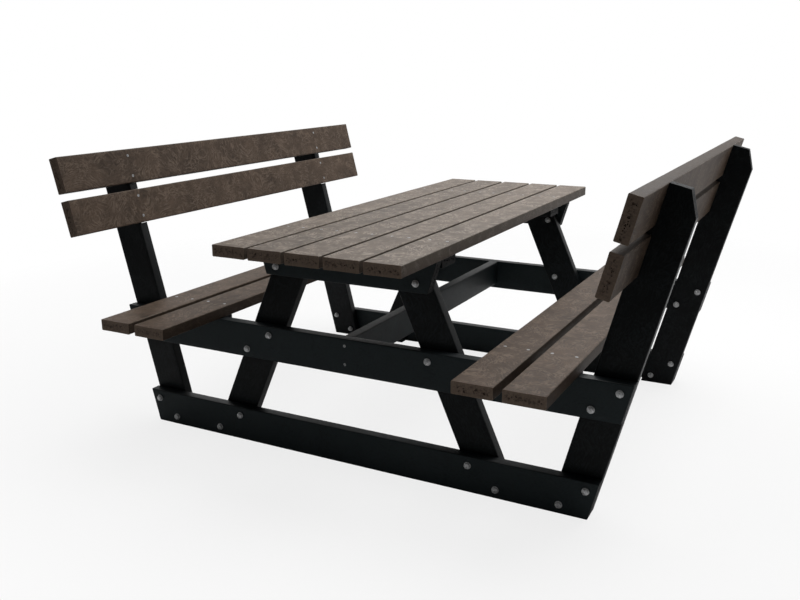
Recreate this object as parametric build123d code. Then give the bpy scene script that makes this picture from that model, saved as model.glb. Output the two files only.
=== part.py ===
from build123d import *
import os
from math import cos, radians, sin, tan

# Picnic table with two benches and backrests, in millimetres.
# X runs across the table, Y along the boards, Z up; the floor is at Z = 0.

# ---- boards ----
board_width = 120.0
board_thickness = 38.0
board_edge_radius = 4.0
narrow_board_width = 100.0

# ---- tabletop ----
table_height = 750.0
top_length = 1762.0
top_boards = 5
top_gap = 12.0

# ---- seats ----
seat_height = 470.0
seat_length = 1870.0
seat_inner_x = 497.0
seat_gap = 24.0

# ---- backrests ----
back_length = 1814.0
back_rise = 268.0
back_gap = 24.0

# ---- end frames ----
frame_length = 1312.0
seat_post_gap = 41.0
post_lean = 14.2
post_top_width = 57.0
post_chamfer_length = 70.0
notch_depth = 28.0
notch_clearance = 1.0
leg_foot_x = 504.0
leg_rake = 23.8
leg_top_gap = 4.0
top_rail_inset = 2.0
top_rail_end_slope = 30.0

# ---- cleats and battens ----
cleat_end_inset = 8.0
batten_frame_gap = 10.0
batten_end_inset = 24.0

# ---- fasteners ----
bolt_diameter = 10.0
bolt_hole_clearance = 0.6
bolt_offset = 30.0
bolt_rise = 30.0
top_bolt_drop = 20.0
bolt_head_flats = 17.0
bolt_head_height = 6.4
bolt_tail = 4.0
nut_height = 8.0
washer_diameter = 23.0
washer_thickness = 2.0
screw_diameter = 5.0
screw_head_diameter = 10.0
screw_head_height = 2.8
screw_socket_flats = 3.2
screw_socket_depth = 2.2
screw_clearance = 0.2
long_screw_reach = 34.0
short_screw_reach = 24.0
back_screw_reach = 22.0
screw_edge_distance = 24.0
top_screw_spread = 60.0
beam_screw_drops = (24.0, 86.0)

# ---- derived places ----
lean = radians(post_lean)
rake = radians(leg_rake)
top_pitch = board_width + top_gap
top_width = top_boards * board_width + (top_boards - 1) * top_gap
top_underside = table_height - board_thickness
seat_underside = seat_height - board_thickness
seat_rail_base = seat_underside - board_width
top_rail_base = top_underside - narrow_board_width
rail_face_y = frame_length / 2
post_face_y = rail_face_y - board_thickness
post_back_y = post_face_y - board_thickness
batten_y = post_back_y - batten_frame_gap - narrow_board_width / 2
seat_outer_x = seat_inner_x + 2 * board_width + seat_gap
post_foot_x = seat_outer_x + seat_post_gap - seat_height * tan(lean)
back_start = seat_height / cos(lean) + back_rise
upper_back_start = back_start + board_width + back_gap
post_top = upper_back_start + board_width
ground_rail_middle = board_width / 2
seat_rail_middle = seat_rail_base + board_width / 2
top_rail_middle = top_rail_base + narrow_board_width / 2
screw_spread = board_width - 2 * screw_edge_distance
long_screw_length = board_thickness + long_screw_reach
short_screw_length = board_thickness + short_screw_reach
back_screw_length = board_thickness + back_screw_reach
top_rail_half_length = top_width / 2 - top_rail_inset


# ---- places on the slanted posts and legs (right-hand side, X and Z) ----
def post_place(along, out):
    """Point at a distance along the post and a distance out from its inner edge."""
    x = post_foot_x + along * sin(lean) + out * cos(lean)
    z = along * cos(lean) - out * sin(lean)
    return x, z


def post_x_at(height, out):
    """X of the line that runs `out` from the post's inner edge, at one height."""
    return post_foot_x + height * tan(lean) + out / cos(lean)


def leg_x_at(height, out):
    """X of the line that runs `out` from the leg's centre line, at one height."""
    return leg_foot_x - height * tan(rake) + out / cos(rake)


# ---- building helpers ----
def flat_piece(outline, y_low, y_high, grain):
    """Flat board cut to an outline in X and Z, with the edges along its grain rounded."""
    face = Plane.XZ.offset(-y_high) * Polygon(*outline, align=None)
    solid = extrude(face, amount=y_high - y_low)
    long_edges = solid.edges().filter_by(Axis((0, 0, 0), grain))
    return fillet(long_edges, board_edge_radius)


def straight_board(width, thickness, length):
    """Board along Y centred on the origin, wide in X, with rounded long edges."""
    face = Plane.XZ * RectangleRounded(width, thickness, board_edge_radius)
    return extrude(face, amount=length / 2, both=True)


def mirrored_outline(outline, side):
    """The right-hand outline, or its mirror image walked the same way round."""
    return [(side * x, z) for x, z in outline][::side]


def y_span(inner, outer, end):
    """Low and high Y of a piece that lies between two distances from the middle."""
    return min(end * inner, end * outer), max(end * inner, end * outer)


def screw_solid(length):
    """Countersunk screw pointing down, the middle of its head's face at the origin."""
    shank_radius = screw_diameter / 2
    profile = Polygon(
        (0, 0),
        (screw_head_diameter / 2, 0),
        (shank_radius, -screw_head_height),
        (shank_radius, -length + screw_diameter),
        (0, -length),
        align=None,
    )
    body = revolve(Plane.XZ * profile, Axis.Z)
    hexagon = RegularPolygon(screw_socket_flats / 2, 6, major_radius=False)
    socket = extrude(hexagon, amount=-screw_socket_depth)
    return body - socket


def screw_hole(length):
    """Space cut for a screw: the screw's shape with a clearance all round."""
    hole_radius = screw_diameter / 2 + screw_clearance
    head_radius = screw_head_diameter / 2 + screw_clearance
    profile = Polygon(
        (0, 1),
        (head_radius + 1, 1),
        (head_radius, 0),
        (hole_radius, -screw_head_height - screw_clearance),
        (hole_radius, -length - 1),
        (0, -length - 1),
        align=None,
    )
    return revolve(Plane.XZ * profile, Axis.Z)


def place(point, outward):
    """Location of a screw whose head faces `outward` at `point`."""
    return Plane(origin=point, z_dir=outward).location


def cut_screws(solid, places, length):
    """Board with a screw hole cut at each place."""
    hole = screw_hole(length)
    for spot in places:
        solid = solid - spot * hole
    return solid


def cut_bolts(solid, joints, end):
    """Frame piece with a clear hole through it at each bolted joint."""
    radius = (bolt_diameter + bolt_hole_clearance) / 2
    drill = Cylinder(radius, 4 * board_thickness, rotation=(90, 0, 0))
    for x, z in joints:
        solid = solid - Pos(x, end * post_face_y, z) * drill
    return solid


# ---- bolt positions (right-hand side) ----
def post_bolts(rail_middle):
    """The two bolts where a rail crosses a post: low on the inside, high on the outside."""
    low = rail_middle - bolt_rise
    high = rail_middle + bolt_rise
    inside = board_width / 2 - bolt_offset
    outside = board_width / 2 + bolt_offset
    return [(post_x_at(low, inside), low), (post_x_at(high, outside), high)]


def leg_bolts(rail_middle):
    """The two bolts where a rail crosses a leg: low on the outside, high on the inside."""
    low = rail_middle - bolt_rise
    high = rail_middle + bolt_rise
    return [(leg_x_at(low, bolt_offset), low), (leg_x_at(high, -bolt_offset), high)]


def top_bolt():
    """The one bolt where the top rail crosses a leg."""
    height = top_rail_middle - top_bolt_drop
    return [(leg_x_at(height, bolt_offset), height)]


def both_sides(joints):
    """Joints on the right with their mirror images on the left."""
    return joints + [(-x, z) for x, z in joints]


ground_rail_joints = both_sides(post_bolts(ground_rail_middle) + leg_bolts(ground_rail_middle))
seat_rail_joints = both_sides(post_bolts(seat_rail_middle) + leg_bolts(seat_rail_middle))
top_rail_joints = both_sides(top_bolt())
frame_joints = ground_rail_joints + seat_rail_joints + top_rail_joints


# ---- screw positions ----
def top_board_x(number):
    """X of the middle of a tabletop board, counted 1 to 5 from the left."""
    return (number - (top_boards + 1) / 2) * top_pitch


def seat_board_x(side, row):
    """X of the middle of a seat board; row 0 is the inner board, row 1 the outer."""
    return side * (seat_inner_x + board_width / 2 + row * (board_width + seat_gap))


def top_screw_places(numbers, ends):
    """Screws down through the tabletop boards into the cross battens."""
    places = []
    for number in numbers:
        for end in ends:
            for offset in (-top_screw_spread / 2, top_screw_spread / 2):
                spot = (top_board_x(number) + offset, end * batten_y, table_height)
                places.append(place(spot, (0, 0, 1)))
    return places


def seat_screw_places(side, rows, ends):
    """Screws down through the seat boards into the cleats."""
    places = []
    for row in rows:
        for end in ends:
            for offset in (-screw_spread / 2, screw_spread / 2):
                spot = (seat_board_x(side, row) + offset, end * (post_face_y + post_back_y) / 2, seat_height)
                places.append(place(spot, (0, 0, 1)))
    return places


def back_screw_places(side, rows, ends):
    """Screws through the backrest boards into the posts, square to the boards."""
    places = []
    for row in rows:
        start = (back_start, upper_back_start)[row]
        for end in ends:
            for distance in (screw_edge_distance, board_width - screw_edge_distance):
                x, z = post_place(start + distance, notch_depth - board_thickness)
                spot = (side * x, end * (post_face_y + post_back_y) / 2, z)
                places.append(place(spot, (-side * cos(lean), 0, sin(lean))))
    return places


def beam_screw_places(end):
    """Screws through a seat rail into the end of the centre beam."""
    return [
        place((0, end * rail_face_y, seat_underside - drop), (0, end, 0))
        for drop in beam_screw_drops
    ]


def cleat_screw_places(end, side):
    """Screws from the back of a cleat into the seat rail."""
    cleat_middle = (seat_inner_x + seat_outer_x) / 2
    reach = board_width / 2
    height = seat_underside - narrow_board_width / 2
    return [
        place((side * (cleat_middle + offset), end * post_back_y, height), (0, -end, 0))
        for offset in (-reach, reach)
    ]


def batten_screw_places(end):
    """Screws up through a cross batten into the outermost tabletop boards."""
    height = top_underside - board_thickness
    return [
        place((side * top_board_x(top_boards), end * (batten_y - narrow_board_width / 4), height), (0, 0, -1))
        for side in (-1, 1)
    ]


# ---- boards ----
def top_board(number):
    """One tabletop board."""
    board = Pos(top_board_x(number), 0, table_height - board_thickness / 2) * straight_board(
        board_width, board_thickness, top_length
    )
    board = cut_screws(board, top_screw_places([number], (-1, 1)), long_screw_length)
    if number in (1, top_boards):
        for end in (-1, 1):
            board = cut_screws(board, batten_screw_places(end), short_screw_length)
    return board


def seat_board(side, row):
    """One seat board."""
    board = Pos(seat_board_x(side, row), 0, seat_height - board_thickness / 2) * straight_board(
        board_width, board_thickness, seat_length
    )
    return cut_screws(board, seat_screw_places(side, [row], (-1, 1)), long_screw_length)


def back_board(side, row):
    """One backrest board, let into the posts and leaning with them."""
    start = (back_start, upper_back_start)[row]
    x, z = post_place(start + board_width / 2, notch_depth - board_thickness / 2)
    turned = Rot(0, side * (post_lean - 90), 0) * straight_board(board_width, board_thickness, back_length)
    board = Pos(side * x, 0, z) * turned
    return cut_screws(board, back_screw_places(side, [row], (-1, 1)), back_screw_length)


# ---- end frames ----
def ground_rail(end):
    """Rail on the floor, its ends cut flush with the posts' outer edges."""
    foot = post_x_at(0, board_width)
    head = post_x_at(board_width, board_width)
    outline = [(-foot, 0), (foot, 0), (head, board_width), (-head, board_width)]
    rail = flat_piece(outline, *y_span(post_face_y, rail_face_y, end), (1, 0, 0))
    return cut_bolts(rail, ground_rail_joints, end)


def seat_rail(end):
    """Rail under the seat boards, its ends cut flush with the posts' outer edges."""
    foot = post_x_at(seat_rail_base, board_width)
    head = post_x_at(seat_underside, board_width)
    outline = [
        (-foot, seat_rail_base),
        (foot, seat_rail_base),
        (head, seat_underside),
        (-head, seat_underside),
    ]
    rail = flat_piece(outline, *y_span(post_face_y, rail_face_y, end), (1, 0, 0))
    rail = cut_bolts(rail, seat_rail_joints, end)
    rail = cut_screws(rail, beam_screw_places(end), long_screw_length)
    for side in (-1, 1):
        rail = cut_screws(rail, cleat_screw_places(end, side), short_screw_length)
    return rail


def top_rail(end):
    """Rail under the tabletop, shorter along its lower edge."""
    foot = top_rail_half_length - top_rail_end_slope
    head = top_rail_half_length
    outline = [
        (-foot, top_rail_base),
        (foot, top_rail_base),
        (head, top_underside),
        (-head, top_underside),
    ]
    rail = flat_piece(outline, *y_span(post_face_y, rail_face_y, end), (1, 0, 0))
    return cut_bolts(rail, top_rail_joints, end)


def leg(end, side):
    """Slanted leg that leans inward from the floor to just under the tabletop."""
    half = board_width / 2
    top = top_underside - leg_top_gap
    outline = [
        (leg_x_at(0, -half), 0),
        (leg_x_at(0, half), 0),
        (leg_x_at(top, half), top),
        (leg_x_at(top, -half), top),
    ]
    grain = (-side * sin(rake), 0, cos(rake))
    piece = flat_piece(mirrored_outline(outline, side), *y_span(post_back_y, post_face_y, end), grain)
    return cut_bolts(piece, frame_joints, end)


def notch(row):
    """Right-hand slot in a post that takes one backrest board, open at the inner edge."""
    start = (back_start, upper_back_start)[row] - notch_clearance
    stop = start + board_width + 2 * notch_clearance
    corners = [
        post_place(start, -board_width),
        post_place(stop, -board_width),
        post_place(stop, notch_depth),
        post_place(start, notch_depth),
    ]
    return corners


def back_post(end, side):
    """Slanted post that leans outward, notched for the two backrest boards."""
    shoulder = post_top - post_chamfer_length
    outline = [
        (post_x_at(0, 0), 0),
        (post_x_at(0, board_width), 0),
        post_place(shoulder, board_width),
        post_place(post_top, notch_depth + post_top_width),
        post_place(post_top, 0),
    ]
    grain = (side * sin(lean), 0, cos(lean))
    piece = flat_piece(mirrored_outline(outline, side), *y_span(post_back_y, post_face_y, end), grain)
    for row in (0, 1):
        corners = Polygon(*mirrored_outline(notch(row), side), align=None)
        piece = piece - extrude(Plane.XZ * corners, amount=rail_face_y, both=True)
    piece = cut_screws(piece, back_screw_places(side, (0, 1), (end,)), back_screw_length)
    return cut_bolts(piece, frame_joints, end)


def centre_beam():
    """Beam on edge between the two seat rails, its top level with theirs."""
    section = straight_board(board_thickness, narrow_board_width, 2 * post_face_y)
    beam = Pos(0, 0, seat_underside - narrow_board_width / 2) * section
    for end in (-1, 1):
        beam = cut_screws(beam, beam_screw_places(end), long_screw_length)
    return beam


# ---- cleats and battens ----
def seat_cleat(end, side):
    """Short board behind the seat rail that takes the seat screws."""
    low_x = seat_inner_x + cleat_end_inset
    high_x = seat_outer_x - cleat_end_inset
    base = seat_underside - narrow_board_width
    outline = [(low_x, base), (high_x, base), (high_x, seat_underside), (low_x, seat_underside)]
    cleat = flat_piece(mirrored_outline(outline, side), *y_span(post_back_y, post_face_y, end), (1, 0, 0))
    cleat = cut_screws(cleat, seat_screw_places(side, (0, 1), (end,)), long_screw_length)
    return cut_screws(cleat, cleat_screw_places(end, side), short_screw_length)


def top_batten(end):
    """Flat board across the underside of the tabletop."""
    length = top_width - 2 * batten_end_inset
    turned = Rot(0, 0, 90) * straight_board(narrow_board_width, board_thickness, length)
    batten = Pos(0, end * batten_y, top_underside - board_thickness / 2) * turned
    numbers = range(1, top_boards + 1)
    batten = cut_screws(batten, top_screw_places(numbers, (end,)), long_screw_length)
    return cut_screws(batten, batten_screw_places(end), short_screw_length)


# ---- fasteners ----
def at_joints(solid, end):
    """Copies of a bolt part at every joint of one frame, its outer side facing `end`."""
    copies = []
    for x, z in frame_joints:
        spot = Plane(origin=(x, end * rail_face_y, z), z_dir=(0, end, 0), x_dir=(1, 0, 0))
        copies.append(spot.location * solid)
    return Compound(children=copies)


def frame_bolts(end):
    """Hexagon-head bolts, head outward."""
    grip = 2 * board_thickness + 2 * washer_thickness
    head = extrude(RegularPolygon(bolt_head_flats / 2, 6, major_radius=False), amount=bolt_head_height)
    head = Pos(0, 0, washer_thickness) * chamfer(head.faces().sort_by(Axis.Z)[-1].edges(), 0.8)
    reach = grip + nut_height + bolt_tail
    shank = Pos(0, 0, washer_thickness - reach / 2) * Cylinder(bolt_diameter / 2, reach)
    return at_joints(head + shank, end)


def frame_washers(end):
    """A washer under each bolt head and one under each nut."""
    ring = Circle(washer_diameter / 2) - Circle((bolt_diameter + bolt_hole_clearance) / 2)
    washer = extrude(ring, amount=washer_thickness)
    inner = Pos(0, 0, -2 * board_thickness - washer_thickness) * washer
    copies = list(at_joints(washer, end).children) + list(at_joints(inner, end).children)
    return Compound(children=copies)


def frame_nuts(end):
    """Hexagon nuts on the inner side."""
    hexagon = RegularPolygon(bolt_head_flats / 2, 6, major_radius=False) - Circle(bolt_diameter / 2)
    base = -2 * board_thickness - washer_thickness - nut_height
    return at_joints(Pos(0, 0, base) * extrude(hexagon, amount=nut_height), end)


def screws(places, length):
    """Separate screws at a list of places."""
    screw = screw_solid(length)
    return Compound(children=[spot * screw for spot in places])


def all_cleat_screw_places():
    """Cleat screws of all four cleats."""
    places = []
    for end in (-1, 1):
        for side in (-1, 1):
            places += cleat_screw_places(end, side)
    return places


# ---- the whole table ----
def picnic_table():
    """Every separate piece by name."""
    pieces = {}
    for number in range(1, top_boards + 1):
        pieces[f"top_board_{number}"] = top_board(number)
    for side, side_name in ((-1, "left"), (1, "right")):
        pieces[f"{side_name}_seat_inner_board"] = seat_board(side, 0)
        pieces[f"{side_name}_seat_outer_board"] = seat_board(side, 1)
        pieces[f"{side_name}_back_lower_board"] = back_board(side, 0)
        pieces[f"{side_name}_back_upper_board"] = back_board(side, 1)
        seat_places = seat_screw_places(side, (0, 1), (-1, 1))
        pieces[f"{side_name}_seat_screws"] = screws(seat_places, long_screw_length)
        back_places = back_screw_places(side, (0, 1), (-1, 1))
        pieces[f"{side_name}_back_screws"] = screws(back_places, back_screw_length)
    for end, end_name in ((-1, "front"), (1, "rear")):
        pieces[f"{end_name}_ground_rail"] = ground_rail(end)
        pieces[f"{end_name}_seat_rail"] = seat_rail(end)
        pieces[f"{end_name}_top_rail"] = top_rail(end)
        pieces[f"{end_name}_top_batten"] = top_batten(end)
        for side, side_name in ((-1, "left"), (1, "right")):
            pieces[f"{end_name}_{side_name}_leg"] = leg(end, side)
            pieces[f"{end_name}_{side_name}_back_post"] = back_post(end, side)
            pieces[f"{end_name}_{side_name}_seat_cleat"] = seat_cleat(end, side)
        pieces[f"{end_name}_frame_bolts"] = frame_bolts(end)
        pieces[f"{end_name}_frame_washers"] = frame_washers(end)
        pieces[f"{end_name}_frame_nuts"] = frame_nuts(end)
    pieces["centre_beam"] = centre_beam()
    top_numbers = range(1, top_boards + 1)
    pieces["tabletop_screws"] = screws(top_screw_places(top_numbers, (-1, 1)), long_screw_length)
    pieces["beam_screws"] = screws(beam_screw_places(-1) + beam_screw_places(1), long_screw_length)
    pieces["batten_screws"] = screws(batten_screw_places(-1) + batten_screw_places(1), short_screw_length)
    pieces["cleat_screws"] = screws(all_cleat_screw_places(), short_screw_length)
    return pieces


os.makedirs("parts", exist_ok=True)
for name, piece in picnic_table().items():
    piece.label = name
    export_step(piece, f"parts/{name}.step")
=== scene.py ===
import random
from math import atan2, cos, hypot, pi, radians, sin

import bmesh
import bpy
from bpy.props import FloatProperty, FloatVectorProperty, IntProperty, PointerProperty
from mathutils import Matrix, Vector, noise


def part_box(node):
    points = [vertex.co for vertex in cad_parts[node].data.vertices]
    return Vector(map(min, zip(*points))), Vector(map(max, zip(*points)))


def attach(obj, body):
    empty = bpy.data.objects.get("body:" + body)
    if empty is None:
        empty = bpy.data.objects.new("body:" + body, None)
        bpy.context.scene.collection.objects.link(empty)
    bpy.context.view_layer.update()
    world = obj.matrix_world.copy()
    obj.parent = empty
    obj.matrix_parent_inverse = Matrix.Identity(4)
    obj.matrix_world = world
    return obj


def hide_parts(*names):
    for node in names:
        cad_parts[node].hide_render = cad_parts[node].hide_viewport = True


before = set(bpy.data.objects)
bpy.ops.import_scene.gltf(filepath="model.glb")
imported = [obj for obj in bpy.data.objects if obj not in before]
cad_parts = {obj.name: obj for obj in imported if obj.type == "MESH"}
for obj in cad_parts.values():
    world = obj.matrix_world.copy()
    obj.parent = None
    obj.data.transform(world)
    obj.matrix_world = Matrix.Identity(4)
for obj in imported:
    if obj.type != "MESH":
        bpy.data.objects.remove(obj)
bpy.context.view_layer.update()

bl_info = {
    "name": "Picnic table with backrests",
    "version": (1, 0, 0),
    "blender": (4, 5, 0),
    "location": "View3D > Sidebar > Picnic table",
    "description": "Builds a picnic table of moulded plastic boards around its packed CAD model",
    "category": "Object",
}

X = Vector((1, 0, 0))
Y = Vector((0, 1, 0))
Z = Vector((0, 0, 1))

TOP_BOARDS = [f"top_board_{number}" for number in range(1, 6)]
SIDES = (("left", -1), ("right", 1))
ENDS = (("front", -1), ("rear", 1))

# what each family of boards is made of: its skin, its sawn ends and its slot
TABLETOP = ("tabletop_skin", "brown_sawn_end", "tabletop")
SEATING = ("seating_skin", "brown_sawn_end", "seating")
BLACK_FRAME = ("frame_skin", "black_sawn_end", "frame")

SPARE = 0.02  # extra length that is moulded and then sawn off
RAKED_SPARE = 0.16  # the same for boards that are sawn at a slope
CUTTER_PAST = 0.002  # how far a cutter stands out of the board that it cuts
SHANK_ROOM = 0.0002  # room round a screw's shank in its hole
HEAD_ROOM = 0.0005  # room round a screw's head in its countersink
OVERHEAD_PLACE = (0.5, 1.5, 3.9)
OVERHEAD_SIZE = 4.0
SIDE_PLACE = (4.6, 1.0, 2.2)
SIDE_SIZE = 2.5
BACKDROP_HEADING = (-0.35, 0.93, 0.10)  # the way the pale backdrop lies from the table
RAIL_PAINTED_LIGHT = 0.55  # painted light: the rails are a little lighter than the other frame boards
UPRIGHT_PAINTED_SHADE = -0.40  # painted shade: the legs and the posts are a little darker, as they stand in the shade of the table and the backrests


def length_property(name, text, default, low=0.0, high=10.0):
    """A size in metres."""
    return FloatProperty(
        name=name, description=text, default=default, min=low, max=high, unit="LENGTH", precision=4
    )


def angle_property(name, text, default):
    """An angle, given in degrees."""
    return FloatProperty(name=name, description=text, default=radians(default), subtype="ANGLE")


def share_property(name, text, default):
    """A share from 0 to 1."""
    return FloatProperty(name=name, description=text, default=default, min=0.0, max=1.0, subtype="FACTOR")


def colour_property(name, text, default):
    """A colour in linear red, green and blue."""
    return FloatVectorProperty(
        name=name, description=text, default=default, min=0.0, max=1.0, size=3, subtype="COLOR"
    )


# ---- sizes and colours a user may change ----
class BoardSettings(bpy.types.PropertyGroup):
    """How the moulded boards are shaped."""

    width: length_property("Board width", "Width of a full board", 0.120)
    thickness: length_property("Board thickness", "Thickness of the leaning backrest boards", 0.038)
    edge_radius: length_property("Edge radius", "Rounding along the long edges", 0.004)
    sink: length_property("Sink", "How far the wide faces sink between their edges", 0.0006)
    wave: length_property("Wave", "Height of the slow waves left by the mould", 0.0005)
    slice_length: length_property("Slice length", "Distance between cuts along a board", 0.045)
    slice_width: length_property("Slice width", "Distance between cuts across a board", 0.014)
    end_chamfer: length_property("End chamfer", "Small break on sawn edges", 0.0006)
    pore_cell: length_property("Pore cell", "Grid that the end pores are pressed into", 0.0030)
    pore_wall: length_property("Pore wall", "How much a pore narrows on its way in", 0.0004)
    pore_depth: length_property("Pore depth", "Depth of the deepest end pores", 0.0060)
    pores: IntProperty(name="Pores", description="Pores in a full-width end", default=16, min=0, max=60)


class FrameSettings(bpy.types.PropertyGroup):
    """How the two end frames are cut."""

    post_lean: angle_property("Post lean", "Lean of the back posts from upright", 14.2)
    leg_rake: angle_property("Leg rake", "Rake of the legs from upright", 23.8)
    post_top_width: length_property("Post top width", "Flat left on a post's top", 0.057)
    post_chamfer: length_property("Post chamfer", "Length of the cut on a post's outer corner", 0.070)
    notch_clearance: length_property("Notch clearance", "Room above and below a board in its notch", 0.001)
    top_rail_end: length_property("Top rail end", "How much shorter the top rail is below", 0.030)


class FastenerSettings(bpy.types.PropertyGroup):
    """Bolts, nuts, washers and screws."""

    bolt_diameter: length_property("Bolt diameter", "Shank of a frame bolt", 0.010)
    bolt_hole: length_property("Bolt hole", "Hole drilled for a frame bolt", 0.0106)
    bolt_drill_reach: length_property("Bolt drill reach", "Reach of a bolt's drill from mid-board", 0.03)
    head_flats: length_property("Head flats", "Width across a hexagon head or nut", 0.017)
    head_height: length_property("Head height", "Height of a hexagon head", 0.0064)
    thread_pitch: length_property("Thread pitch", "Distance between thread ridges", 0.0015)
    thread_length: length_property("Thread length", "Threaded stretch at a bolt's tail", 0.028)
    screw_diameter: length_property("Screw diameter", "Shank of a board screw", 0.005)
    screw_head: length_property("Screw head", "Diameter of a countersunk head", 0.010)
    screw_head_height: length_property("Screw head height", "Depth of the countersink", 0.0028)
    screw_drive_depth: length_property("Screw drive depth", "Depth of the six-lobed drive", 0.0016)
    screw_sink: length_property("Screw sink", "How deep a head sits below the board", 0.0004)


class FinishSettings(bpy.types.PropertyGroup):
    """Colours of the plastics and the zinc."""

    top_light: colour_property("Tabletop light", "Lighter flow of the tabletop", (0.180, 0.139, 0.106))
    top_dark: colour_property("Tabletop dark", "Darker flow of the tabletop", (0.060, 0.046, 0.035))
    seat_light: colour_property("Seating light", "Lighter flow of seats and backs", (0.134, 0.092, 0.065))
    seat_dark: colour_property("Seating dark", "Darker flow of seats and backs", (0.030, 0.021, 0.015))
    sawn_light: colour_property("Sawn brown", "Brown board where it is sawn", (0.260, 0.190, 0.142))
    sawn_dark: colour_property("Sawn pores", "Foamed core of a brown board", (0.030, 0.021, 0.015))
    frame_light: colour_property("Frame light", "Lighter flow of the black boards", (0.023, 0.033, 0.0365))
    frame_dark: colour_property("Frame dark", "Darker flow of the black boards", (0.001, 0.002, 0.0028))
    # the flow-mark colours below also paint the highlight along the rubbed long edges
    top_marks_and_highlight: colour_property("Tabletop marks", "Flow marks of the tabletop", (0.34, 0.285, 0.235))
    seat_marks_and_highlight: colour_property("Seating marks", "Flow marks of seats and backs", (0.22, 0.165, 0.125))
    frame_marks_and_highlight: colour_property("Frame marks", "Flow marks of the black boards", (0.024, 0.029, 0.031))
    frame_sawn: colour_property("Sawn black", "Black board where it is sawn", (0.012, 0.013, 0.014))
    zinc: colour_property("Zinc", "Bright zinc plating", (0.850, 0.860, 0.865))
    zinc_dull: colour_property("Dull zinc", "Zinc where it has dulled", (0.500, 0.505, 0.510))
    zinc_dark: colour_property("Dark zinc", "Darkest patches on the screws", (0.16, 0.163, 0.168))


class StageSettings(bpy.types.PropertyGroup):
    """Floor, lamps and camera."""

    floor: colour_property("Floor", "Pale studio floor", (0.86, 0.86, 0.86))
    floor_radius: length_property("Floor radius", "Where the floor has faded away", 3.4)
    floor_behind: length_property("Floor behind", "How far behind the table the floor is centred", 0.7)
    floor_veil: share_property("Floor veil", "How far the floor dissolves into the white backdrop", 0.82)
    camera_place: FloatVectorProperty(
        name="Camera place",
        description="Where the camera stands",
        default=(1.3795, -2.8987, 1.2691),
        size=3,
        subtype="TRANSLATION",
        unit="LENGTH",
    )
    camera_turn: angle_property("Camera turn", "Turn to the left of straight along the boards", 27.72)
    camera_tilt: angle_property("Camera tilt", "Tilt below the horizon", 15.11)
    camera_roll: angle_property("Camera roll", "Roll of the camera", -0.2)
    lens: FloatProperty(name="Lens", description="Focal length", default=39.05, unit="CAMERA", min=10.0)
    overhead: FloatProperty(
        name="Overhead", description="Power of the overhead lamp", default=165.0, min=0.0, unit="POWER"
    )
    side: FloatProperty(name="Side", description="Power of the side lamp", default=5.0, min=0.0, unit="POWER")
    backdrop: FloatProperty(name="Backdrop", description="Glow of the pale backdrop", default=1.1, min=0.0)
    sky: FloatProperty(name="Sky", description="Strength of the dim light all round", default=0.07, min=0.0)


# ---- shader groups shared by the finishes ----
def put(tree, kind, inputs=None, **options):
    """Add a shader node, set its options, and fill or wire its inputs."""
    made = tree.nodes.new(kind)
    for key, value in options.items():
        setattr(made, key, value)
    for key, value in (inputs or {}).items():
        if isinstance(value, bpy.types.NodeSocket):
            tree.links.new(value, made.inputs[key])
        else:
            made.inputs[key].default_value = value
    return made


def sums(tree, operation, first, second=0.0, third=0.0):
    """Output of a Math node."""
    return put(tree, "ShaderNodeMath", {0: first, 1: second, 2: third}, operation=operation).outputs[0]


def vector_sums(tree, operation, first, second):
    """Output of a Vector Math node that takes two vectors."""
    return put(tree, "ShaderNodeVectorMath", {0: first, 1: second}, operation=operation).outputs[0]


def spread(tree, value, low, high, to_low=0.0, to_high=1.0):
    """Output of a clamped Map Range node."""
    inputs = {"Value": value, "From Min": low, "From Max": high, "To Min": to_low, "To Max": to_high}
    return put(tree, "ShaderNodeMapRange", inputs).outputs["Result"]


def blend_colour(tree, share, first, second, blend_type="MIX"):
    """Output of a colour Mix node."""
    inputs = {0: share, 6: first, 7: second}
    return put(tree, "ShaderNodeMix", inputs, data_type="RGBA", blend_type=blend_type).outputs[2]


def cloud(tree, vector, scale, detail=2.0, roughness=0.5, distortion=0.0):
    """A Noise Texture node."""
    inputs = {
        "Vector": vector,
        "Scale": scale,
        "Detail": detail,
        "Roughness": roughness,
        "Distortion": distortion,
    }
    return put(tree, "ShaderNodeTexNoise", inputs)


def new_group(name, inputs, outputs):
    """Empty shader group with named sockets; gives the group, its input node and its output node."""
    group = bpy.data.node_groups.new(name, "ShaderNodeTree")
    for label, kind in inputs:
        group.interface.new_socket(name=label, in_out="INPUT", socket_type=kind)
    for label, kind in outputs:
        group.interface.new_socket(name=label, in_out="OUTPUT", socket_type=kind)
    return group, group.nodes.new("NodeGroupInput"), group.nodes.new("NodeGroupOutput")


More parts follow.
